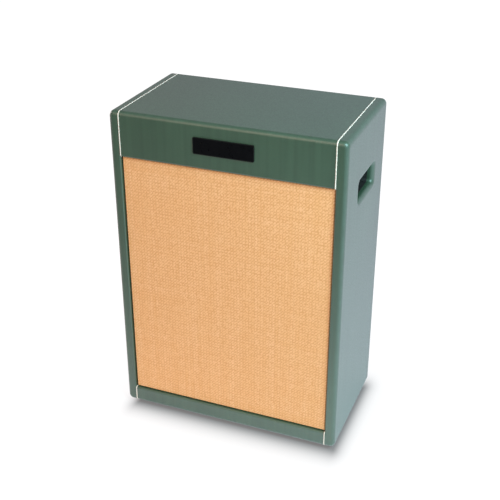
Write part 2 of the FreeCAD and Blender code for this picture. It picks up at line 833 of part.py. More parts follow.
def tee_nuts():
    solids = []
    for x, z in all_bolt_places:
        front = V(x, baffle_front, z)
        rear = front + rearward * nut_barrel_length
        barrel = tube(nut_barrel_radius, bolt_shank_radius + screw_clearance, front, rear)
        flange = tube(nut_flange_radius, nut_barrel_radius, front, front + rearward * nut_flange_thickness)
        solids.append(barrel.fuse(flange))
    return group(solids)


def driver(name, z):
    return {
        f"{name}_basket": basket(z),
        f"{name}_cone": cone(z),
        f"{name}_dust_cap": dust_cap(z),
        f"{name}_surround": surround(z),
        f"{name}_spider": spider(z),
        f"{name}_voice_coil": voice_coil(z),
        f"{name}_magnet": washer(magnet_radius, magnet_bore_radius, magnet_start, magnet_end, z),
        f"{name}_pole_plates": pole_plates(z),
    }


# Jack plate, sockets and switch

switch_half_width = rocker_width / 2 + rocker_gap + switch_wall
switch_half_height = rocker_radius + rocker_gap + switch_wall
pivot = V(0, plate_outer + switch_bezel_thickness - rocker_valley, plate_z)


def jack_plate():
    w, h = plate_width / 2, plate_height / 2
    plate = box(-w, w, back_rear, plate_outer, plate_z - h, plate_z + h)
    plate = plate.makeFillet(plate_corner, edges_along(plate, rearward))
    clear = screw_clearance
    inside, outside = back_rear - overrun, plate_outer + overrun
    holes = [rod(jack_bush_radius + clear, V(x, inside, plate_z), V(x, outside, plate_z))
             for x in (-jack_offset, jack_offset)]
    w, h = switch_half_width + clear, switch_half_height + clear
    holes.append(box(-w, w, inside, outside, plate_z - h, plate_z + h))
    holes += [screw_hole(seat, rearward, plate_screw_length) for seat in plate_seats]
    return plate.cut(holes)


def jack_sockets():
    solids = []
    mouth = plate_outer + jack_bush_proud
    w, h = jack_body_width / 2, jack_body_height / 2
    for x in (-jack_offset, jack_offset):
        body = box(x - w, x + w, back_rear - jack_body_length, back_rear, plate_z - h, plate_z + h)
        bush = rod(jack_bush_radius, V(x, back_rear, plate_z), V(x, mouth, plate_z))
        bore = rod(jack_bore_radius, V(x, mouth - jack_bore_length, plate_z), V(x, mouth + overrun, plate_z))
        solids.append(body.fuse(bush).cut(bore))
    return group(solids)


def jack_nuts():
    solids = []
    step = 2 * math.pi / jack_nut_sides
    corner = jack_nut_flats / 2 / math.cos(step / 2)
    angles = [step * side for side in range(jack_nut_sides + 1)]
    for x in (-jack_offset, jack_offset):
        points = [V(x + corner * math.cos(a), plate_outer, plate_z + corner * math.sin(a)) for a in angles]
        nut = Part.Face(Part.makePolygon(points)).extrude(rearward * jack_nut_height)
        bore = rod(jack_bush_radius + glue_gap, V(x, back_rear, plate_z), V(x, rear_y, plate_z))
        solids.append(nut.cut(bore))
    return group(solids)


def switch_body():
    w, h = switch_half_width, switch_half_height
    bezel = box(-w - switch_bezel, w + switch_bezel, plate_outer, plate_outer + switch_bezel_thickness,
                plate_z - h - switch_bezel, plate_z + h + switch_bezel)
    housing = box(-w, w, plate_outer - switch_depth, plate_outer, plate_z - h, plate_z + h)
    reach = right * (rocker_width / 2 + rocker_gap)
    pin_reach = right * (rocker_width / 2 + rocker_pin_length + rocker_gap)
    drum = rod(rocker_radius + rocker_gap, pivot - reach, pivot + reach)
    pins = rod(rocker_pin_radius + rocker_pin_gap, pivot - pin_reach, pivot + pin_reach)
    return bezel.fuse(housing).cut([drum, pins])


def switch_rocker():
    reach = right * (rocker_width / 2)
    drum = rod(rocker_radius, pivot - reach, pivot + reach)
    far = rocker_radius + overrun
    rise = rocker_valley + far * math.tan(math.radians(rocker_tilt))
    outer = far + rise
    outline = [(rocker_valley, 0), (rise, far), (outer, far), (outer, -far), (rise, -far), (rocker_valley, 0)]
    points = [pivot - right * far + rearward * y + up * z for y, z in outline]
    valley = Part.Face(Part.makePolygon(points)).extrude(right * (2 * far))
    pin_reach = right * (rocker_width / 2 + rocker_pin_length)
    cap = drum.cut(valley).fuse(rod(rocker_pin_radius, pivot - pin_reach, pivot + pin_reach))
    return cap.rotate(pivot, right, -rocker_tilt)


# Speaker leads

driver_rear = flange_y + yoke_end
jack_front = back_rear - jack_body_length
clip_seat = back_front - batten


def lead_points(side, z, shares):
    reach = clip_seat - lead_batten_gap - driver_rear
    return [V(side * inner_half * across, driver_rear + reach * back, plate_z + (z - plate_z) * climb)
            for across, back, climb in shares]


def lead_route(side, z, shares):
    """Points of a lead: straight out of its jack, by its way points, then straight into its plug."""
    jack = V(side * jack_offset, jack_front, plate_z)
    plug = V(side * tab_x, tab_tip + plug_width / 2, z)
    jack_run = rearward * (lead_jack_share * (jack_front - driver_rear))
    return [jack, jack - jack_run] + lead_points(side, z, shares) + [plug + rearward * lead_plug_run, plug]


def lower_lead_route():
    return lead_route(1, lower_z, lower_lead_shares)


def upper_lead_route():
    return lead_route(-1, upper_z, upper_lead_rise_shares + upper_lead_clip_shares + upper_lead_end_shares)


def lead(points):
    """Cable along straight runs joined by tangent arcs, each as wide as its shorter run allows."""
    start, edges = points[0], []
    for before, corner, after in zip(points, points[1:], points[2:]):
        into, out = (corner - before).normalize(), (after - corner).normalize()
        half_turn = into.getAngle(out) / 2
        trim = bend_share * min((corner - before).Length, (after - corner).Length)
        radius = trim / math.tan(half_turn)
        first, last = corner - into * trim, corner + out * trim
        middle = corner + (out - into).normalize() * (radius / math.cos(half_turn) - radius)
        edges += [Part.LineSegment(start, first).toShape(), Part.Arc(first, middle, last).toShape()]
        start = last
        print("lead bend radius", round(radius, 1))
    edges.append(Part.LineSegment(start, points[-1]).toShape())
    path = Part.Wire(edges)
    section = Part.Wire(Part.Circle(points[0], points[1] - points[0], lead_diameter / 2).toShape())
    solid = path.makePipeShell([section], True, False)
    section_area = math.pi * lead_diameter ** 2 / 4
    print("lead length", round(path.Length, 1))
    print("lead volume over section times length", round(solid.Volume / section_area / path.Length, 4))
    return solid


def cable_clips():
    """Saddles that hold the upper lead against the back batten, each at the middle of a run."""
    solids = []
    bore = lead_diameter / 2 + clip_clearance
    wide, tall = clip_width / 2, clip_height / 2
    points = lead_points(-1, upper_z, upper_lead_clip_shares)
    for start, end in zip(points, points[1:]):
        x, y, z = (start + end) / 2
        block = box(x - wide, x + wide, y - bore - clip_wall, clip_seat, z - tall, z + tall)
        solids.append(block.cut(rod(bore, V(x, y, z - clip_height), V(x, y, z + clip_height))))
    return group(solids)


def screw_group(seats, direction, length):
    return group([screw(seat, direction, length) for seat in seats])


def screws():
    cup_screws = screw_group(cup_seats, -right, cup_screw_length)
    return {
        "back_panel_screws": screw_group(fixed_back_seats, rearward, back_screw_length),
        "centre_panel_screws": screw_group(centre_back_seats, rearward, back_screw_length),
        "baffle_screws": screw_group(baffle_seats, -rearward, baffle_screw_length),
        "jack_plate_screws": screw_group(plate_seats, rearward, plate_screw_length),
        "handle_cup_screws": group(both_sides(cup_screws.Solids)),
        "foot_screws": screw_group(foot_seats, -up, foot_screw_length),
    }


def all_pieces():
    return {
        **cabinet_boards(),
        **vinyl_covering(),
        **piping(),
        **battens(),
        **back_panels(),
        **handle_cups(),
        **screws(),
        **driver("upper", upper_z),
        **driver("lower", lower_z),
        "baffle_board": baffle_board(),
        "badge_plate": badge_plate(),
        "rubber_feet": feet(),
        "grille_frame": grille_frame(),
        "grille_cloth": grille_cloth(),
        "grille_loop_pads": pads(frame_rear, frame_rear + pad_thickness),
        "baffle_hook_pads": pads(frame_rear + pad_thickness, baffle_front),
        "speaker_gaskets": group([gasket(lower_z), gasket(upper_z)]),
        "speaker_terminals": group(terminals(lower_z) + [mirrored(solid) for solid in terminals(upper_z)]),
        "speaker_bolts": speaker_bolts(),
        "speaker_tee_nuts": tee_nuts(),
        "jack_plate": jack_plate(),
        "jack_sockets": jack_sockets(),
        "jack_nuts": jack_nuts(),
        "switch_body": switch_body(),
        "switch_rocker": switch_rocker(),
        "lower_speaker_lead": group([lead(lower_lead_route()), lead_plug(lower_z)]),
        "upper_speaker_lead": group([lead(upper_lead_route()), mirrored(lead_plug(upper_z))]),
        "cable_clips": cable_clips(),
    }


os.makedirs("parts", exist_ok=True)
for name, shape in all_pieces().items():
    shape.exportStep(f"parts/{name}.step")
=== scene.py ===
import json
import math
import random

import bpy
from mathutils import Euler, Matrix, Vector


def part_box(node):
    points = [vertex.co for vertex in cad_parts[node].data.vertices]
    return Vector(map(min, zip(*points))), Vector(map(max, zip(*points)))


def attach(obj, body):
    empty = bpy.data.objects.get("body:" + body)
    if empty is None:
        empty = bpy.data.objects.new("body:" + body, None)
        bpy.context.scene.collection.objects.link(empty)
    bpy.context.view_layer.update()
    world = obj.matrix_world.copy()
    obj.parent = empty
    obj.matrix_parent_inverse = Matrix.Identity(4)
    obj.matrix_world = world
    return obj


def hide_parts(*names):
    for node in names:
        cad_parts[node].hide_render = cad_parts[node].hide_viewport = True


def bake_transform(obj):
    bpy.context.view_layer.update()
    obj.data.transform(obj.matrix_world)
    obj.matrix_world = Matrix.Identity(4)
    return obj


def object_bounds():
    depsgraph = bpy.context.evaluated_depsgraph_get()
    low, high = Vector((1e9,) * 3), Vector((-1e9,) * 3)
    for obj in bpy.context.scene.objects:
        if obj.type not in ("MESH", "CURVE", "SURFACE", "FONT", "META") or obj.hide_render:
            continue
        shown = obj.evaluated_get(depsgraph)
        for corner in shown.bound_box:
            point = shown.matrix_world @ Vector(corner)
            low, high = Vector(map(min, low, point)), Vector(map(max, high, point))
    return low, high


# Looks of the guitar speaker cabinet, in metres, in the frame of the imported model.
# X runs to the right as seen from the front, Y to the rear, Z up.

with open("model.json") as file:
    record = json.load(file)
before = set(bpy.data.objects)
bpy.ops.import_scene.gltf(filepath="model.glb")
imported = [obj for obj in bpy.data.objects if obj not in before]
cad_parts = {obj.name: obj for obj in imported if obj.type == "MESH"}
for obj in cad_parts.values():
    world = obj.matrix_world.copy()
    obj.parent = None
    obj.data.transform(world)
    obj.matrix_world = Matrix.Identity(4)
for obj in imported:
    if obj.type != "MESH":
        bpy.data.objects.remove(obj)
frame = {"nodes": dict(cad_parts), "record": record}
cad_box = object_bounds()
nodes = frame["nodes"]

# Camera, fitted to the outline of the box in the photograph
photo_width_px = 500
focal_px = 933.74
sensor_width_mm = 36.0
camera_place = Vector((0.6974, -1.7604, 1.3741))
camera_yaw = 0.3774
camera_pitch = 0.4785
camera_roll = 0.0003

# Grille cloth: pitch of its weave cells across and up, how far they stand proud,
# and how the cloth goes round the frame
weave_across = 0.00687
weave_up = 0.00724
weave_height = 0.0003
weave_steps = 4
threads_per_cell = 4
cloth_bend = 0.0025
cloth_turn = 0.012
cloth_thickness = 0.001
bend_steps = 4

# Weights of the patterns in the grille cloth's colour and relief, the middle of its ragged part, and the
# range over which its colour turns from the painted shade in its grooves to thread
rib_across_weight = 0.23
rib_up_weight = 0.27
basket_weight = 0.15
slant_weight = 0.21
fuzz_weight = 1.7
slub_weight = 0.6
ragged_middle = 1.07
column_share = 0.6
fine_tint = 0.06
fine_height = 0.5
painted_shade_to_thread = (0.22, 0.58)

# Hook and loop pads: share of a pad that is tape, pitches, a hook's width, the tape's clipped corners,
# a hook's sections from root to tip (share of height, share of width, lean in widths) and the uneven nap
tape_share = 0.45
hook_pitch = 0.0024
hook_width = 0.0007
loop_pitch = 0.0010
tape_corner = 0.002
hook_sections = ((0.0, 1.0, 0.0), (0.6, 0.7, 0.2), (1.0, 0.5, 1.2))
nap_range = (0.35, 0.95)
nap_seed = 7

# Decimals to which two corners of a mesh agree where they are one place
place_decimals = 6

# Cloth rings that hold each cone: sheet, number of rolls, radius where these begin and of the inner edge.
# The surround's radii are counted from the cone's rim. A seam keeps the parts of a ring from touching.
surround_sheet = 0.0008
surround_rolls = 2
surround_width = 0.010
surround_lap = 0.005
spider_sheet = 0.0006
spider_rolls = 6
spider_rolls_radius = 0.051
spider_neck_radius = 0.0227
roll_steps = 12
ring_steps = 128
ring_seam = 0.00004

# Pitch and depth of surface reliefs
vinyl_grain_depth = 0.00012
vinyl_streak_pitch = 0.011
vinyl_streak_length = 0.4
moulded_grain_depth = 0.00006
paint_peel_depth = 0.00008
turning_mark_depth = 0.00002
wood_grain_depth = 0.00015
ply_thickness = 0.0016
cone_ring_pitch = 0.011
cone_ring_depth = 0.0006
coil_wire_pitch = 0.0005
surround_thread_pitch = 0.0011
spider_thread_pitch = 0.0013
tape_thread_pitch = 0.0012
thread_relief = 1 / 6
badge_rim_step = 0.0003
cloth_fuzz_depth = 0.0003

# Values that hold most of a noise, and narrower ones for more contrast
noise_range = (0.3, 0.7)
strong_range = (0.35, 0.65)
speck_range = (0.35, 0.7)

# How much smoother and rougher than its mean a surface is in places
moulded_uneven = 0.06
coat_smoother = 0.05
coat_rougher = 0.08
metal_smoother = 0.08
metal_rougher = 0.1

# Shares and gains in colour: streaks against clouds, threads against fuzz, rubbed paint, glue between plies
# and specks on the badge; and in relief, fibres against rings on a cone
streak_share = 0.6
thread_share = 0.6
rubbed_gain = 2.5
rubbed_share = 0.25
glue_shade = 0.6
glue_line_least = 0.35
speck_gain = 1.8
fibre_height = 0.3

# Features per metre along X, Y and Z of stretched noise
turning_marks = (300, 4000, 300)
painted_grain = (120, 120, 4)
upright_grain = (80, 80, 3)
level_grain = (3, 80, 80)
cloth_columns = (120, 1, 2)
cloth_rows = (2, 1, 110)

# Colours, dark and light
green_dark = (0.0195, 0.052, 0.0275)
green_light = (0.030, 0.072, 0.040)
green_worn = (0.055, 0.125, 0.085)
black_dark = (0.008, 0.008, 0.008)
black_light = (0.022, 0.022, 0.022)
rubber_dark = (0.012, 0.012, 0.012)
rubber_light = (0.032, 0.031, 0.030)
ply_dark = (0.42, 0.27, 0.14)
ply_light = (0.66, 0.48, 0.29)
paper_dark = (0.018, 0.017, 0.016)
paper_light = (0.050, 0.046, 0.042)
cream_dark = (0.80, 0.67, 0.58)
cream_light = (0.90, 0.77, 0.70)
badge_field = (0.002, 0.002, 0.0025)
badge_rim = (0.012, 0.012, 0.012)
spider_dark = (0.34, 0.20, 0.07)
spider_light = (0.62, 0.42, 0.19)
copper_dark = (0.30, 0.11, 0.04)
copper_light = (0.72, 0.36, 0.18)
ferrite_dark = (0.03, 0.03, 0.032)
ferrite_light = (0.08, 0.08, 0.085)
zinc_dark = (0.44, 0.43, 0.38)
zinc_light = (0.66, 0.65, 0.60)
screw_dark = (0.05, 0.05, 0.05)
screw_light = (0.14, 0.14, 0.14)
board_dark = (0.20, 0.13, 0.07)
board_light = (0.42, 0.30, 0.18)
straw = (0.85, 0.420, 0.190)
# Painted shade for the grooves of the grille cloth
straw_painted_shade = (0.74, 0.330, 0.128)
straw_pale = (0.90, 0.480, 0.252)
white = (1, 1, 1)

# Axis along which the plies of a board are stacked, where it isn't Y
thickness_axis = {"left_side_panel": 0, "right_side_panel": 0, "top_panel": 2, "bottom_panel": 2}

# Stage: a white sweep that, to all but the camera, darkens from sweep_front to sweep_end.
# Reflections see it glow, warm on the left and cool on the right, as a painted reflection.
floor_reach = 40.0
floor_white = (0.92, 0.92, 0.92)
floor_dark = (0.2, 0.2, 0.2)
# Colour of the floor to the camera alone, under the glow that paints the shadow
floor_shade = (0.12, 0.105, 0.11)
painted_reflection_warm = (0.20, 0.12, 0.14)
painted_reflection_cool = (0.77, 0.77, 0.98)
sweep_front = -0.3
sweep_end = -1.5
tint_reach = 0.5

# Painted shadow that hugs the cabinet, in a glow that only the camera sees: where its darkest part ends
# inside the left, right, front and rear of the footprint, how far it reaches in front, how much less at the
# sides, how sharply it fades, and how light it is to the camera at its darkest and beyond it, before the
# floor turns all white
shadow_margins = (0.026, 0.004, 0.010, 0.036)
shadow_reach = 0.034
shadow_narrowing = 1.75
shadow_fade = 1.5
shadow_level = 0.17
shadow_end_level = 0.9
white_from = 0.5

# Softboxes: place, aim, edge length, power in watts and colour
front_softbox = ((-0.5, -2.1, 1.9), (0, 0, 0.4), 1.6, 22.3, (1.0, 0.74, 0.575))
right_softbox = ((1.15, -0.75, 1.6), (0.1, -0.1, 0.45), 0.6, 32.0, (0.57, 0.94, 1.0))
left_softbox = ((-1.4, 0.3, 0.72), (-0.4, -0.1, 0), 0.7, 10.0, (1.0, 0.86, 0.84))
low_softbox = ((1.5, -1.7, 0.6), (0.1, -0.1, 0.3), 0.8, 5.8, (0.58, 0.92, 1.0))

# World: even light all round, a backdrop behind the object and a glow low down on it. The pairs are
# directions between which each comes in, to the rear or downwards. Light and reflections take the backdrop
# warm on its left and cool on its right, and backdrop_turn is where it goes from one to the other.
world_even = 0.41
world_backdrop = 0.21
world_glow = 0.4
backdrop_rear = (0.2, 0.7)
backdrop_top = (0.75, 0.45)
glow_top = (0.4, 0.1)
backdrop_warm = (0.92, 0.85, 0.90)
backdrop_cool = (1.08, 1.18, 1.35)
backdrop_turn = (-0.45, -0.25)


class Shader:
    """Short calls that add nodes to a node tree."""

    def __init__(self, tree, coordinates):
        self.tree = tree
        self.coordinates = self.node("ShaderNodeTexCoord").outputs[coordinates]

    def node(self, kind, sockets=None, **settings):
        made = self.tree.nodes.new(kind)
        for key, value in settings.items():
            setattr(made, key, value)
        for socket, value in (sockets or {}).items():
            if isinstance(value, bpy.types.NodeSocket):
                self.tree.links.new(value, made.inputs[socket])
            else:
                made.inputs[socket].default_value = value
        return made

    def math(self, operation, first, second=0.0):
        return self.node("ShaderNodeMath", {0: first, 1: second}, operation=operation).outputs[0]

    def add(self, first, second):
        return self.math("ADD", first, second)

    def times(self, first, second):
        return self.math("MULTIPLY", first, second)

    def weigh(self, first, second, share):
        """The first value times its share and the second times the rest."""
        return self.add(self.times(first, share), self.times(second, 1 - share))

    def axes(self):
        return self.node("ShaderNodeSeparateXYZ", {0: self.coordinates}).outputs

    def fit(self, value, low, high, new_low=0.0, new_high=1.0):
        return self.node("ShaderNodeMapRange", {"Value": value, "From Min": low, "From Max": high,
                                                "To Min": new_low, "To Max": new_high}).outputs["Result"]

    def mix(self, first, second, factor):
        """Mix of two colours. Sockets 0, 6 and 7 take the factor and the colours, and 2 gives the mix."""
        mixer = self.node("ShaderNodeMix", data_type="RGBA")
        for place, value in ((0, factor), (6, first), (7, second)):
            if isinstance(value, bpy.types.NodeSocket):
                self.tree.links.new(value, mixer.inputs[place])
            else:
                mixer.inputs[place].default_value = (*value, 1) if place else value
        return mixer.outputs[2]

    def seen(self, *rays):
        """One for the kinds of ray that are named, as the Light Path node tells them, and zero for others."""
        path = self.node("ShaderNodeLightPath").outputs
        total = path[f"Is {rays[0]} Ray"]
        for ray in rays[1:]:
            total = self.math("MAXIMUM", total, path[f"Is {ray} Ray"])
        return total


class Paint(Shader):
    """A principled material in the object's own coordinates."""

    def __init__(self, name, **sockets):
        self.material = bpy.data.materials.new(name)
        self.material.use_nodes = True
        super().__init__(self.material.node_tree, "Object")
        self.surface = self.tree.nodes["Principled BSDF"]
        for socket, value in sockets.items():
            self.surface.inputs[socket.replace("_", " ")].default_value = value

    def noise(self, scale=1.0, detail=2.0, stretch=(1, 1, 1)):
        """Noise with its features per metre, all ways or along X, Y and Z."""
        place = self.node("ShaderNodeMapping", {"Vector": self.coordinates, "Scale": stretch}).outputs[0]
        sockets = {"Vector": place, "Scale": scale, "Detail": detail}
        return self.node("ShaderNodeTexNoise", sockets).outputs["Fac"]

    def mottle(self, scale, detail=2.0, low=0.0, high=1.0, spread=noise_range):
        """Noise with its spread of values turned into one from low to high."""
        return self.fit(self.noise(scale, detail), *spread, low, high)

    def cells(self, scale):
        sockets = {"Vector": self.coordinates, "Scale": scale}
        return self.node("ShaderNodeTexVoronoi", sockets).outputs["Distance"]

    def rounding(self):
        """Zero where the surface lies along the axes, one on the middle of a rounded edge."""
        normal = self.node("ShaderNodeNewGeometry").outputs["Normal"]
        parts = self.node("ShaderNodeSeparateXYZ", {0: normal}).outputs
        sizes = [self.math("ABSOLUTE", part) for part in parts]
        largest = self.math("MAXIMUM", self.math("MAXIMUM", sizes[0], sizes[1]), sizes[2])
        return self.fit(largest, 1.0, math.sqrt(0.5))

    def cosine(self, coordinate, period):
        return self.math("COSINE", self.times(coordinate, 2 * math.pi / period))

    def ridges(self, coordinate, pitch):
        """Zero in the grooves and one on the crests of even ridges along a coordinate."""
        return self.fit(self.cosine(coordinate, pitch), -1.0, 1.0)

    def radius(self, centre):
        """Distance from a driver's axis, which runs along Y."""
        x, _, z = self.axes()
        z = self.math("SUBTRACT", z, centre.z)
        return self.math("SQRT", self.add(self.times(x, x), self.times(z, z)))

    def finish(self, colour, roughness, height, depth, strength=0.6):
        bump = self.node("ShaderNodeBump", {"Height": height, "Distance": depth, "Strength": strength})
        for socket, value in (("Base Color", colour), ("Roughness", roughness), ("Normal", bump.outputs[0])):
            self.tree.links.new(value, self.surface.inputs[socket])
        return self.material


def scaled(colour, gain):
    return tuple(gain * part for part in colour)


# Materials

def vinyl(name, dark, light, worn):
    """Grained vinyl with faint upright streaks, rubbed a little along its rounded edges."""
    paint = Paint(name, Specular_IOR_Level=1.0)
    across = 1 / vinyl_streak_pitch
    streaks = paint.noise(detail=3.0, stretch=(across, across, 1 / vinyl_streak_length))
    tone = paint.weigh(streaks, paint.noise(scale=5.0), share=streak_share)
    base = paint.mix(dark, light, paint.fit(tone, *strong_range))
    edge = paint.times(paint.rounding(), paint.mottle(scale=60.0, low=0.05, high=0.3))
    roughness = paint.mottle(scale=300.0, detail=3.0, low=0.38, high=0.5)
    grain = paint.cells(scale=900.0)
    return paint.finish(paint.mix(base, worn, edge), roughness, grain, vinyl_grain_depth, strength=0.5)


def moulded(name, dark, light, rough, grain_scale=1500.0, grain=1.0):
    """Moulded plastic, rubber, paper or board with a fine even grain."""
    paint = Paint(name)
    colour = paint.mix(dark, light, paint.mottle(scale=40.0, detail=4.0))
    roughness = paint.mottle(scale=220.0, detail=3.0, low=rough - moulded_uneven, high=rough + moulded_uneven)
    return paint.finish(colour, roughness, paint.noise(grain_scale), grain * moulded_grain_depth)


def coated_metal(name, dark, light, rough):
    """Painted metal with a faint orange peel and rubbed edges."""
    paint = Paint(name)
    base = paint.mix(dark, light, paint.mottle(scale=25.0, detail=3.0, spread=strong_range))
    colour = paint.mix(base, scaled(light, rubbed_gain), paint.times(paint.rounding(), rubbed_share))
    roughness = paint.mottle(scale=120.0, low=rough - coat_smoother, high=rough + coat_rougher)
    return paint.finish(colour, roughness, paint.noise(scale=500.0, detail=1.0), paint_peel_depth)


def bare_metal(name, dark, light, rough):
    """Plated steel with turning marks and faint stains."""
    paint = Paint(name, Metallic=1.0)
    colour = paint.mix(dark, light, paint.mottle(scale=60.0, detail=4.0))
    marks = paint.noise(detail=3.0, stretch=turning_marks)
    roughness = paint.fit(marks, *noise_range, rough - metal_smoother, rough + metal_rougher)
    return paint.finish(colour, roughness, marks, turning_mark_depth)


def plywood(name, dark, light, axis, stretch):
    """Long grain on the faces, and plies on the edges, stacked along the thickness axis."""
    paint = Paint(name, Specular_IOR_Level=0.3)
    figure = paint.fit(paint.noise(detail=5.0, stretch=stretch), *noise_range)
    plies = paint.ridges(paint.axes()[axis], 2 * ply_thickness)
    wood = paint.fit(plies, 0.0, 0.5, glue_line_least, 1.0)
    colour = paint.mix(scaled(dark, glue_shade), paint.mix(dark, light, figure), wood)
    roughness = paint.fit(figure, 0.0, 1.0, new_low=0.75, new_high=0.6)
    return paint.finish(colour, roughness, figure, wood_grain_depth)


def painted_wood(name, dark, light):
    """Board under black paint, with its grain just showing."""
    paint = Paint(name, Specular_IOR_Level=0.4)
    figure = paint.noise(detail=4.0, stretch=painted_grain)
    colour = paint.mix(dark, light, paint.fit(figure, *noise_range))
    roughness = paint.mottle(scale=50.0, detail=3.0, low=0.5, high=0.68)
    return paint.finish(colour, roughness, figure, wood_grain_depth)


def woven(name, dark, light, pitch):
    """Close plain cloth, for the tapes and the suspension of the drivers."""
    paint = Paint(name, Specular_IOR_Level=0.2, Sheen_Weight=0.15)
    x, y, z = paint.axes()
    threads = paint.times(paint.ridges(paint.add(x, y), pitch), paint.ridges(z, pitch))
    tone = paint.weigh(threads, paint.noise(scale=300.0, detail=3.0), share=thread_share)
    roughness = paint.mottle(scale=200.0, low=0.75, high=0.95)
    return paint.finish(paint.mix(dark, light, tone), roughness, threads, pitch * thread_relief)


def cone_paper(name, dark, light, centre):
    """Pressed paper with fibres, and rings about the driver's axis."""
    paint = Paint(name, Specular_IOR_Level=0.3)
    rings = paint.ridges(paint.radius(centre), cone_ring_pitch)
    fibres = paint.noise(scale=400.0, detail=5.0)
    colour = paint.mix(dark, light, paint.fit(fibres, *noise_range))
    height = paint.add(rings, paint.times(fibres, fibre_height))
    roughness = paint.fit(fibres, *noise_range, new_low=0.65, new_high=0.85)
    return paint.finish(colour, roughness, height, cone_ring_depth, strength=0.8)


def wound_copper(name, dark, light):
    """Voice coil: turns of enamelled wire side by side along the driver's axis."""
    paint = Paint(name, Metallic=0.8)
    turns = paint.ridges(paint.axes()[1], coil_wire_pitch)
    roughness = paint.fit(turns, 0.0, 1.0, new_low=0.45, new_high=0.3)
    return paint.finish(paint.mix(dark, light, turns), roughness, turns, coil_wire_pitch / 2)


def badge(name, field, rim):
    """Bare black plate whose raised rim is a little lighter than the sunk field."""
    paint = Paint(name, Specular_IOR_Level=0.08)
    low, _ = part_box("badge_plate")
    raised = paint.fit(paint.axes()[1], low.y + badge_rim_step, low.y + badge_rim_step / 2)
    specks = paint.mottle(scale=700.0, detail=3.0, spread=speck_range)
    base = paint.mix(field, scaled(field, speck_gain), specks)
    roughness = paint.mottle(scale=90.0, low=0.26, high=0.4)
    return paint.finish(paint.mix(base, rim, raised), roughness, specks, turning_mark_depth)


def weave_cells(paint, x, z):
    """Grooves of the basket weave, low where the cloth gets painted shade: ribs both ways, a check between
    them and a slant across the cells.
    """
    across = paint.times(paint.ridges(x, weave_across), rib_across_weight)
    up = paint.times(paint.ridges(z, weave_up), rib_up_weight)
    check = paint.times(paint.cosine(x, weave_across), paint.cosine(z, weave_up))
    ribs = paint.add(paint.add(across, up), paint.times(check, basket_weight))
    slant = paint.add(x, paint.times(z, -weave_across / weave_up))
    return paint.add(ribs, paint.times(paint.ridges(slant, weave_across), slant_weight))


def grille_weave(name, thread, painted_groove_shade, bleached):
    """Basket weave in straw colours: slanting cells of fine threads with painted shade in the grooves, in
    uneven bands.
    """
    paint = Paint(name, Specular_IOR_Level=0.25, Sheen_Weight=0.08)
    x, _, z = paint.axes()
    fine = paint.times(paint.cosine(x, 2 * weave_across / threads_per_cell),
                       paint.cosine(z, 2 * weave_up / threads_per_cell))
    fuzz = paint.noise(scale=420.0, detail=4.0)
    slubs = paint.noise(scale=150.0, detail=3.0)
    ragged = paint.add(paint.times(fuzz, fuzz_weight), paint.times(slubs, slub_weight))
    # Painted shade in the grooves, broken up by random fuzz and slubs
    uneven = paint.add(weave_cells(paint, x, z), paint.math("SUBTRACT", ragged, ragged_middle))
    columns, rows = paint.noise(stretch=cloth_columns), paint.noise(stretch=cloth_rows)
    bands = paint.weigh(columns, rows, share=column_share)
    tone = paint.add(bands, paint.times(fine, fine_tint))
    base = paint.mix(thread, bleached, paint.fit(tone, *strong_range))
    colour = paint.mix(painted_groove_shade, base, paint.fit(uneven, *painted_shade_to_thread))
    roughness = paint.fit(fuzz, *noise_range, new_low=0.75, new_high=0.95)
    height = paint.add(paint.times(fine, fine_height), fuzz)
    return paint.finish(colour, roughness, height, cloth_fuzz_depth)


def slot_materials():
    """One material for each slot of the record but plywood, the cones and the grille cloth."""
    return {
        "green_vinyl": vinyl("green_vinyl", green_dark, green_light, green_worn),
        "black_ply": painted_wood("black_ply", black_dark, black_light),
        "cream_piping": moulded("cream_piping", cream_dark, cream_light, rough=0.45, grain_scale=600.0),
        "black_plastic": moulded("black_plastic", black_dark, black_light, rough=0.5),
        "rocker_plastic": moulded("rocker_plastic", black_dark, black_light, rough=0.25),
        "foot_rubber": moulded("foot_rubber", rubber_dark, rubber_light, rough=0.75),
        "badge_black": badge("badge_black", badge_field, badge_rim),
        "hook_and_loop": woven("hook_and_loop", black_dark, black_light, tape_thread_pitch),
        "basket_paint": coated_metal("basket_paint", rubber_dark, rubber_light, rough=0.38),
        "cap_paper": moulded("cap_paper", paper_dark, paper_light, rough=0.7, grain_scale=500.0, grain=3.0),
        "surround_cloth": woven("surround_cloth", paper_dark, paper_light, surround_thread_pitch),
        "spider_cloth": woven("spider_cloth", spider_dark, spider_light, spider_thread_pitch),
        "coil_copper": wound_copper("coil_copper", copper_dark, copper_light),
        "ferrite": moulded("ferrite", ferrite_dark, ferrite_light, rough=0.6, grain_scale=400.0, grain=5.0),
        "zinc_steel": bare_metal("zinc_steel", zinc_dark, zinc_light, rough=0.34),
        "screw_steel": bare_metal("screw_steel", screw_dark, screw_light, rough=0.4),
        "plate_paint": coated_metal("plate_paint", black_dark, black_light, rough=0.42),
        "gasket_board": moulded("gasket_board", board_dark, board_light, rough=0.85, grain_scale=700.0,
                                grain=5.0),
        "lead_rubber": moulded("lead_rubber", rubber_dark, rubber_light, rough=0.55, grain_scale=800.0),
    }


def driver_centre(node):
    low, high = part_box(node)
    return (low + high) / 2


def node_material(node, slot, made):
    if slot == "plywood":
        axis = thickness_axis.get(node, 1)
        name = f"plywood_{axis}"
        if name not in made:
            made[name] = plywood(name, ply_dark, ply_light, axis, level_grain if axis == 2 else upright_grain)
        return made[name]
    if slot == "cone_paper":
        return cone_paper(node, paper_dark, paper_light, driver_centre(node))
    return made[slot]


def dress_nodes(made):
    """The material of its slot on every node but the grille cloth, for which a woven piece stands."""
    for part in frame["record"]["subparts"]:
        node, slot = part["node"], part["material_slot"]
        if slot != "grille_cloth":
            material = node_material(node, slot, made)
            for place in nodes[node].material_slots:
                place.material = material


# Pieces that stand for soft solids

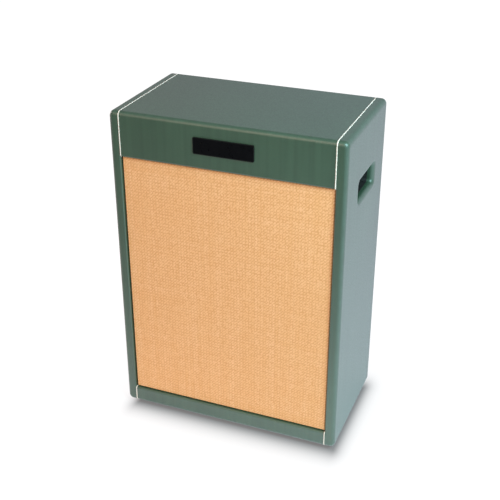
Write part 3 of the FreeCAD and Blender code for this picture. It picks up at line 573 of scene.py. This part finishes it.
def add_piece(name, points, faces, material, body, node, smooth=True):
    """A mesh that stands for a node and rides on a body. One without a body is left loose, and the caller
    bakes its transform.
    """
    mesh = bpy.data.meshes.new(name)
    mesh.from_pydata(points, [], faces)
    mesh.polygons.foreach_set("use_smooth", [smooth] * len(mesh.polygons))
    mesh.materials.append(material)
    piece = bpy.data.objects.new(name, mesh)
    bpy.context.scene.collection.objects.link(piece)
    if body:
        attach(piece, body)
    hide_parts(node)
    return piece


def grid_faces(columns, rows):
    stride = columns + 1
    corners = [row * stride + column for row in range(rows) for column in range(columns)]
    return [(at, at + 1, at + stride + 1, at + stride) for at in corners]


def grid_border(columns, rows):
    """Point numbers round a grid, from its first corner along its first row."""
    stride = columns + 1
    border = list(range(columns)) + [row * stride + columns for row in range(rows)]
    border += [rows * stride + column for column in range(columns, 0, -1)]
    return border + [row * stride for row in range(rows, 0, -1)]


def band_faces(first, second):
    """Faces between two closed loops of point numbers of the same length."""
    after = list(range(1, len(first))) + [0]
    return [(first[b], first[a], second[a], second[b]) for a, b in enumerate(after)]


def weave_lift(x, z):
    """Height of the cloth's face, which has a pillow on each weave cell."""
    across = math.cos(math.pi * x / weave_across)
    rise = math.cos(math.pi * z / weave_up)
    return weave_height * ((across * rise) ** 2 - 1)


def cloth_loops(low, high):
    """Half width, half height and depth of each loop of the cloth, from its face to its turned-in edge."""
    half_x, half_z = (high.x - low.x) / 2, (high.z - low.z) / 2
    loops = []
    for step in range(bend_steps + 1):
        turn = math.pi / 2 * step / bend_steps
        sunk = cloth_bend * (1 - math.sin(turn))
        loops.append((half_x - sunk, half_z - sunk, low.y + cloth_bend * (1 - math.cos(turn))))
    rear = high.y - cloth_thickness / 2
    return loops + [(half_x, half_z, rear), (half_x - cloth_turn, half_z - cloth_turn, rear)]


def grille_cloth():
    """Cloth stretched over the grille frame: a woven face, bent round its edges and turned in behind."""
    low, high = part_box("grille_cloth")
    middle = (low + high) / 2
    loops = cloth_loops(low, high)
    face_x, face_z, face_y = loops[0]
    columns = round(2 * face_x / weave_across * weave_steps)
    rows = round(2 * face_z / weave_up * weave_steps)
    border = grid_border(columns, rows)
    points = []
    for row in range(rows + 1):
        for column in range(columns + 1):
            x, z = face_x * (2 * column / columns - 1), face_z * (2 * row / rows - 1)
            inside = 0 < row < rows and 0 < column < columns
            points.append((middle.x + x, face_y - (weave_lift(x, z) if inside else 0), middle.z + z))
    faces = grid_faces(columns, rows)
    shares = [((points[at][0] - middle.x) / face_x, (points[at][2] - middle.z) / face_z) for at in border]
    last = border
    for half_x, half_z, y in loops[1:]:
        loop = list(range(len(points), len(points) + len(border)))
        points += [(middle.x + half_x * across, y, middle.z + half_z * rise) for across, rise in shares]
        faces += band_faces(last, loop)
        last = loop
    material = grille_weave("grille_cloth", straw, straw_painted_shade, straw_pale)
    piece = add_piece("woven_grille_cloth", points, faces, material, "grille", "grille_cloth")


def solid_boxes(node):
    """Lowest and highest corner of each separate solid of a node."""
    mesh = nodes[node].data
    places = [vertex.co.to_tuple(place_decimals) for vertex in mesh.vertices]
    leader = {place: place for place in places}

    def lead(place):
        while leader[place] != place:
            place = leader[place]
        return place

    for face in mesh.polygons:
        for at in face.vertices[1:]:
            leader[lead(places[at])] = lead(places[face.vertices[0]])
    groups = {}
    for place in leader:
        groups.setdefault(lead(place), []).append(place)
    return [(Vector(map(min, *group)), Vector(map(max, *group))) for group in groups.values()]


def tape_back(low, high, back_y, face_y):
    """Points and faces of a tape with clipped corners, from its glued back to the edge of its face."""
    outline = []
    for x, z, way_x, way_z in ((low.x, low.z, 1, 1), (high.x, low.z, -1, 1), (high.x, high.z, -1, -1),
                               (low.x, high.z, 1, -1)):
        ends = [(x + way_x * tape_corner, z), (x, z + way_z * tape_corner)]
        outline += ends[::-1] if way_x == way_z else ends
    points = [(x, y, z) for y in (back_y, face_y) for x, z in outline]
    count = len(outline)
    faces = band_faces(list(range(count)), list(range(count, 2 * count)))
    return points, faces + [tuple(range(count)), tuple(range(2 * count - 1, count - 1, -1))]


def extend(points, faces, more_points, more_faces):
    start = len(points)
    points += more_points
    faces += [tuple(at + start for at in face) for face in more_faces]


def hook(x, z, root_y, tip_y):
    """Bent plastic hook: a stem that narrows and leans over at its tip."""
    corners = ((-1, -1), (1, -1), (1, 1), (-1, 1))
    points = []
    for rise, size, lean in hook_sections:
        y, shift = root_y + (tip_y - root_y) * rise, z + lean * hook_width
        half = hook_width / 2 * size
        points += [(x + a * half, y, shift + b * half) for a, b in corners]
    count = len(corners)
    loops = [list(range(count * at, count * (at + 1))) for at in range(len(hook_sections))]
    return points, band_faces(loops[0], loops[1]) + band_faces(loops[1], loops[2]) + [tuple(loops[2])]


def spread(low, high, pitch):
    """Even places between two limits, about a pitch apart and half a pitch from the ends."""
    count = max(1, round((high - low) / pitch))
    return [low + (high - low) * (at + 0.5) / count for at in range(count)]


def hook_pads(material):
    """Hook tape on the baffle: a woven back with rows of small bent hooks that face the grille."""
    points, faces = [], []
    for low, high in solid_boxes("baffle_hook_pads"):
        face_y = high.y - tape_share * (high.y - low.y)
        extend(points, faces, *tape_back(low, high, high.y, face_y))
        inset = tape_corner / 2
        for x in spread(low.x + inset, high.x - inset, hook_pitch):
            for z in spread(low.z + inset, high.z - inset, hook_pitch):
                extend(points, faces, *hook(x, z, face_y, low.y))
    add_piece("hook_tapes", points, faces, material, "cabinet", "baffle_hook_pads", False)


def loop_pads(material):
    """Loop tape on the grille frame: a woven back under an uneven napped face."""
    chance = random.Random(nap_seed)
    points, faces = [], []
    for low, high in solid_boxes("grille_loop_pads"):
        face_y = low.y + tape_share * (high.y - low.y)
        extend(points, faces, *tape_back(low, high, low.y, face_y))
        xs = spread(low.x + tape_corner / 2, high.x - tape_corner / 2, loop_pitch)
        zs = spread(low.z + tape_corner / 2, high.z - tape_corner / 2, loop_pitch)
        nap = [(x, face_y + (high.y - face_y) * chance.uniform(*nap_range), z) for z in zs for x in xs]
        columns, rows = len(xs) - 1, len(zs) - 1
        rim = [nap[at] for at in grid_border(columns, rows)]
        sides = [(x, face_y, z) for x, _, z in rim]
        top = [tuple(reversed(face)) for face in grid_faces(columns, rows)]
        skirt = band_faces(list(range(len(nap), len(nap) + len(rim))), grid_border(columns, rows))
        extend(points, faces, nap + sides, top + skirt)
    add_piece("loop_tapes", points, faces, material, "grille", "grille_loop_pads")


def roll_line(outer, pitch, rolls, level):
    """Middle line of half-round rolls, in turn forward and rearward of a level, from the outside inwards."""
    line = []
    for roll in range(rolls):
        centre = outer - pitch * (roll + 0.5)
        way = 1 if roll % 2 else -1
        for step in range(roll_steps):
            turn = math.pi * step / roll_steps
            line.append((centre + pitch / 2 * math.cos(turn), level + way * pitch / 2 * math.sin(turn)))
    return line


def shifted(line, distance):
    """A line of radius and depth moved square to itself, forward where it runs inwards."""
    moved = []
    for at, (radius, y) in enumerate(line):
        before, after = line[max(at - 1, 0)], line[min(at + 1, len(line) - 1)]
        along = (Vector(after) - Vector(before)).normalized()
        moved.append((radius - along.y * distance, y + along.x * distance))
    return moved


def drawn_in(line):
    """A line of radius and depth, from the outside inwards, that ends a seam short of its neighbours."""
    (outer, first_y), *between, (inner, last_y) = line
    return [(outer - ring_seam, first_y), *between, (inner + ring_seam, last_y)]


def turned_ring(section, centre_z):
    """Points and faces of a closed section of radius and depth, turned about a driver's axis."""
    count = len(section)
    points = []
    for step in range(ring_steps):
        angle = 2 * math.pi * step / ring_steps
        across, rise = math.cos(angle), math.sin(angle)
        points += [(radius * across, y, centre_z + radius * rise) for radius, y in section]
    loops = [list(range(count * step, count * (step + 1))) for step in range(ring_steps)]
    faces = []
    for step, loop in enumerate(loops):
        faces += band_faces(loops[step - 1], loop)
    return points, faces


def rolled_ring(driver, kind, sheet, rolls, roll_outer, inner_edge, material):
    """Moulded cloth ring that holds a cone. Its outer part stays and its inner part goes with the cone,
    and the slope between its last two rolls stretches from one to the other."""
    node = f"{driver}_{kind}"
    low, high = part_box(node)
    centre_z = (low.z + high.z) / 2
    level = (low.y + high.y) / 2
    flat = level + sheet / 2
    pitch = high.y - low.y - sheet
    landing = [((high.x - low.x) / 2, flat), (roll_outer, flat)]
    lap = [(roll_outer - pitch * rolls, flat), (inner_edge, flat)]
    line = landing + roll_line(roll_outer, pitch, rolls, level) + lap
    fronts, backs = shifted(line, sheet / 2), shifted(line, -sheet / 2)
    valley = len(landing) + roll_steps * rolls - roll_steps // 2
    crest = valley - roll_steps
    parts = (("landing", 0, crest, "cabinet"), ("slope", crest, valley, None),
             ("lap", valley, len(line) - 1, f"{driver}_cone_assembly"))
    for name, first, last, body in parts:
        front, back = fronts[first:last + 1], backs[first:last + 1]
        if body is None:
            front, back = drawn_in(front), drawn_in(back)
        points, faces = turned_ring(front + back[::-1], centre_z)
        piece = add_piece(f"{node}_{name}", points, faces, material, body, node)
        if body is None:
            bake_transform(piece)


def suspension(driver, made):
    """Surround and spider of a driver."""
    low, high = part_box(f"{driver}_cone")
    rim = (high.x - low.x) / 2
    rolled_ring(driver, "surround", surround_sheet, surround_rolls, rim + surround_width, rim - surround_lap,
                made["surround_cloth"])
    rolled_ring(driver, "spider", spider_sheet, spider_rolls, spider_rolls_radius, spider_neck_radius,
                made["spider_cloth"])


# Stage

def area_light(name, place, aim, size, power, colour):
    lamp = bpy.data.lights.new(name, "AREA")
    lamp.size = size
    lamp.energy = power
    lamp.color = colour
    made = bpy.data.objects.new(name, lamp)
    made.location = place
    made.rotation_euler = (Vector(aim) - Vector(place)).to_track_quat("-Z", "Y").to_euler()
    bpy.context.scene.collection.objects.link(made)


def studio_world():
    """White surroundings, which light the object more from low down behind, like a lit backdrop."""
    world = bpy.data.worlds.new("studio")
    bpy.context.scene.world = world
    world.use_nodes = True
    shader = Shader(world.node_tree, "Generated")
    x, y, z = shader.axes()
    rear = shader.fit(y, *backdrop_rear)
    backdrop = shader.times(shader.fit(z, *backdrop_top), world_backdrop)
    glow = shader.times(shader.fit(z, *glow_top), world_glow)
    level = shader.add(world_even, shader.times(rear, shader.add(backdrop, glow)))
    seen = shader.seen("Camera", "Transmission")
    unseen = shader.math("SUBTRACT", 1.0, seen)
    strength = shader.add(shader.times(level, unseen), seen)
    tint = shader.mix(backdrop_warm, backdrop_cool, shader.fit(x, *backdrop_turn))
    colour = shader.mix(white, tint, shader.times(rear, unseen))
    background = world.node_tree.nodes["Background"]
    world.node_tree.links.new(colour, background.inputs["Color"])
    world.node_tree.links.new(strength, background.inputs["Strength"])


def outside(paint, axis, low, high):
    """Distance of a coordinate from a range, zero within it."""
    below = paint.math("SUBTRACT", low, axis)
    above = paint.math("SUBTRACT", axis, high)
    return paint.math("MAXIMUM", paint.math("MAXIMUM", below, above), 0.0)


def beyond_painted_shadow(paint):
    """Distance on the floor from the darkest part of the painted shadow round the cabinet, counted longer at
    the sides.
    """
    x, y, _ = paint.axes()
    low, high = cad_box
    left, right, front, rear = shadow_margins
    beside = paint.times(outside(paint, x, low.x + left, high.x - right), shadow_narrowing)
    ahead = outside(paint, y, low.y + front, high.y - rear)
    return paint.math("SQRT", paint.add(paint.times(beside, beside), paint.times(ahead, ahead)))


def floor():
    """White sweep with a painted shadow round the cabinet for the camera and a painted reflection for glossy
    rays; out of the camera's sight it ends in front of the object, as a studio's does.
    """
    reach = floor_reach
    corners = [(-reach, -reach, 0), (reach, -reach, 0), (reach, reach, 0), (-reach, reach, 0)]
    mesh = bpy.data.meshes.new("floor")
    mesh.from_pydata(corners, [], [(0, 1, 2, 3)])
    made = bpy.data.objects.new("floor", mesh)
    bpy.context.scene.collection.objects.link(made)
    paint = Paint("floor_white", Roughness=1.0, Specular_IOR_Level=0.0)
    x, y, _ = paint.axes()
    # The camera sees a painted shadow: a glow that is weaker near the cabinet's footprint
    distance = beyond_painted_shadow(paint)
    falling = paint.math("POWER", paint.times(distance, 1 / shadow_reach), shadow_fade)
    dark = paint.math("EXPONENT", paint.times(falling, -1.0))
    shadow = paint.fit(dark, 1.0, 0.0, shadow_level, shadow_end_level)
    glow_with_painted_shadow = paint.add(shadow, paint.fit(distance, 0.0, white_from, 0.0, 1 - shadow_end_level))
    sweep = paint.fit(y, sweep_end, sweep_front)
    tint = paint.mix(painted_reflection_warm, painted_reflection_cool, paint.fit(x, -tint_reach, tint_reach))
    camera_sees = paint.seen("Camera")
    glossy_sees = paint.seen("Glossy")
    colour = paint.mix(paint.mix(floor_dark, floor_white, sweep), floor_shade, camera_sees)
    # Glossy rays see the floor glow, warm on the left and cool on the right: a painted reflection on the
    # cabinet
    glow = paint.mix(white, tint, glossy_sees)
    strength = paint.add(paint.times(camera_sees, glow_with_painted_shadow), paint.times(glossy_sees, sweep))
    for socket, value in (("Base Color", colour), ("Emission Color", glow), ("Emission Strength", strength)):
        paint.tree.links.new(value, paint.surface.inputs[socket])
    mesh.materials.append(paint.material)


def camera():
    data = bpy.data.cameras.new("camera")
    data.sensor_width = sensor_width_mm
    data.lens = focal_px / photo_width_px * sensor_width_mm
    made = bpy.data.objects.new("camera", data)
    made.location = camera_place
    made.rotation_euler = Euler((math.pi / 2 - camera_pitch, camera_roll, camera_yaw))
    bpy.context.scene.collection.objects.link(made)
    bpy.context.scene.camera = made


camera()
materials = slot_materials()
dress_nodes(materials)
grille_cloth()
hook_pads(materials["hook_and_loop"])
loop_pads(materials["hook_and_loop"])
suspension("upper", materials)
suspension("lower", materials)
floor()
studio_world()
area_light("front_softbox", *front_softbox)
area_light("right_softbox", *right_softbox)
area_light("left_softbox", *left_softbox)
area_light("low_softbox", *low_softbox)
bpy.context.scene.view_settings.view_transform = "Standard"
